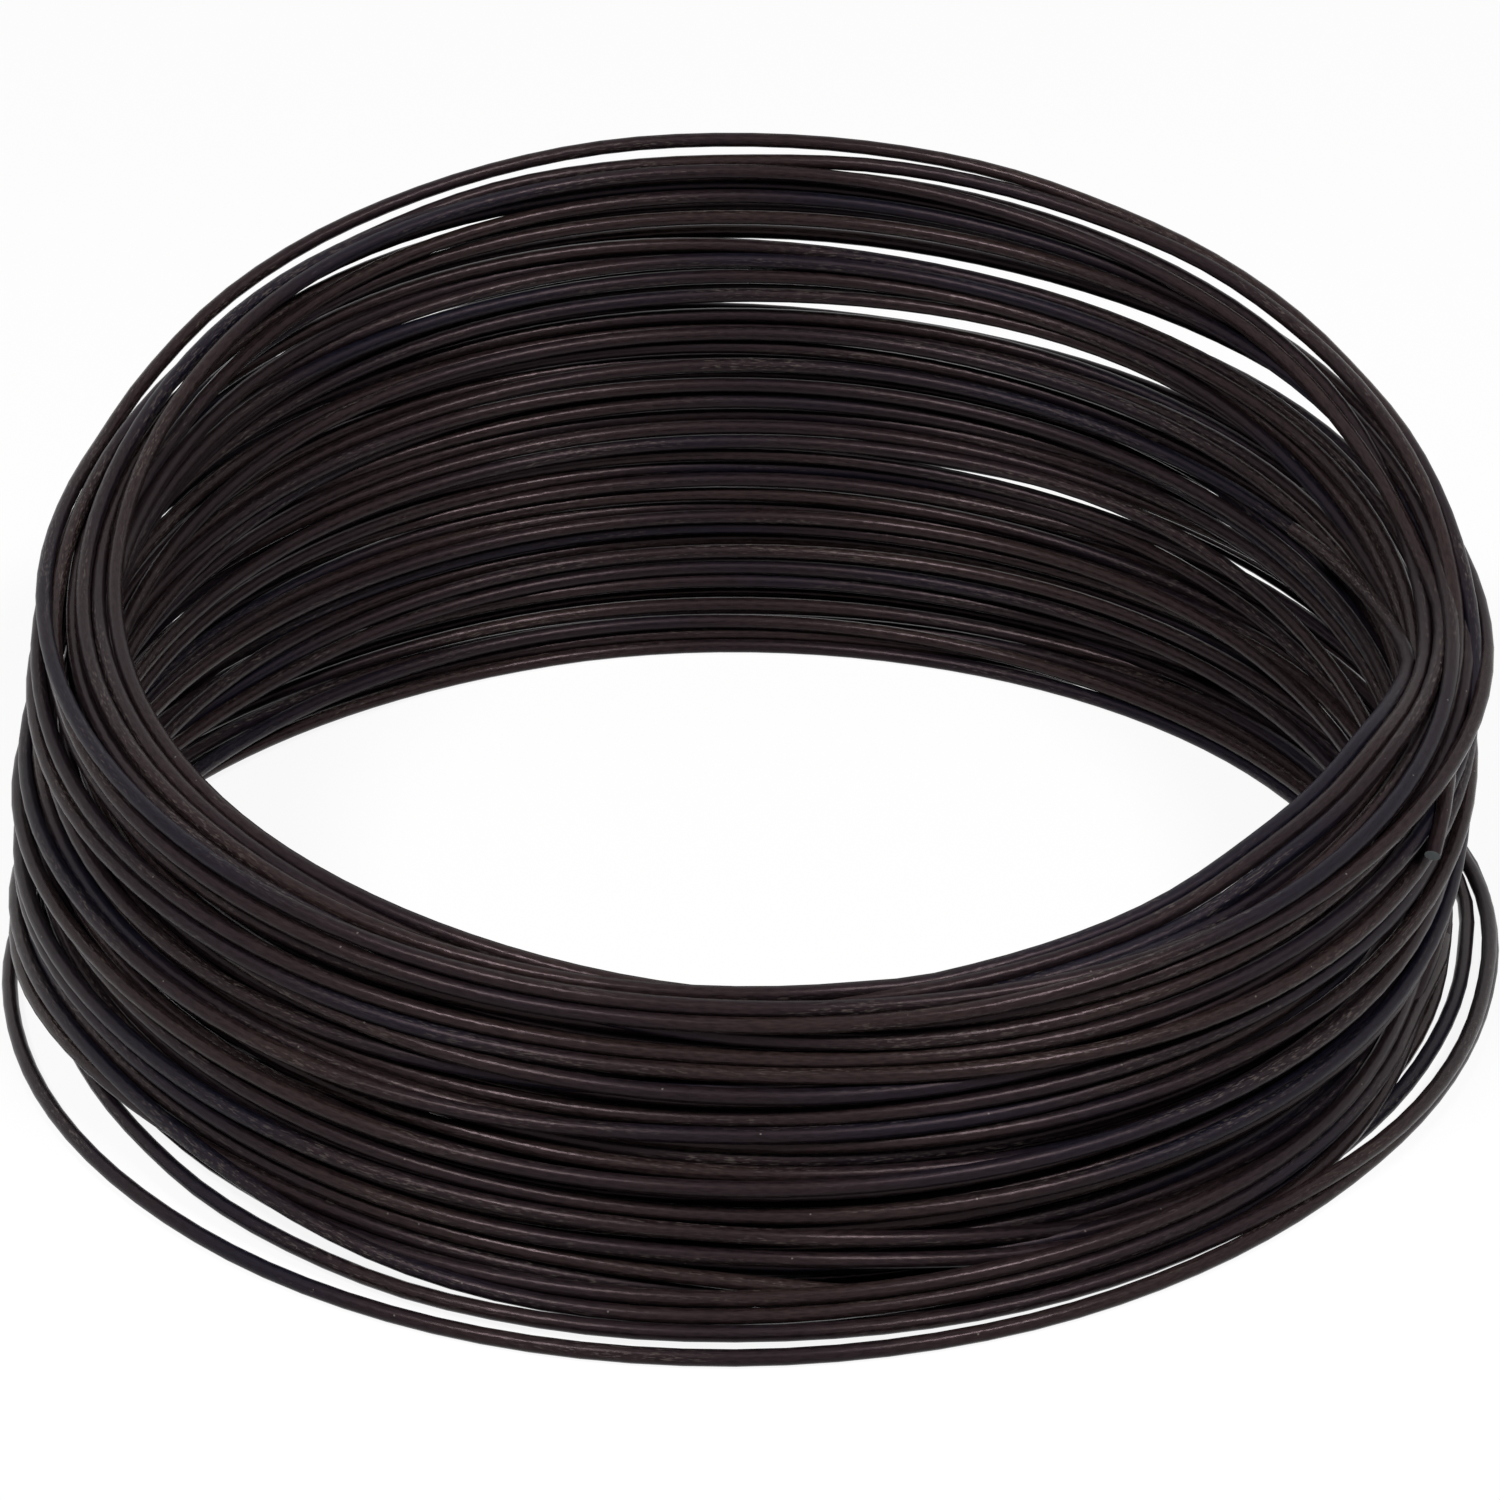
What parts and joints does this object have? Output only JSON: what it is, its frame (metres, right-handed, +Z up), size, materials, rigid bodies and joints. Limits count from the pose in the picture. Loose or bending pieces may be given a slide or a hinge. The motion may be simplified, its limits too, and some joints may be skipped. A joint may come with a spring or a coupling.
{
  "type": "coil of binding wire",
  "caption": "Loose coil of black annealed binding wire lying flat, bunched low at the front and fanned up at the back.",
  "frame": {"origin": "on the floor, under the middle of the coil's bounding box", "axes": "+Z up, out of the bore; +Y towards the back, where the turns are fanned up highest; -Y towards the loose floor turn"},
  "size_m": [0.1144, 0.116, 0.0454],
  "materials": {
    "annealed_wire": "satin black oxide from annealing"
  },
  "bodies": {
    "root": {"wire_coil": "annealed_wire"}
  },
  "joints": []
}
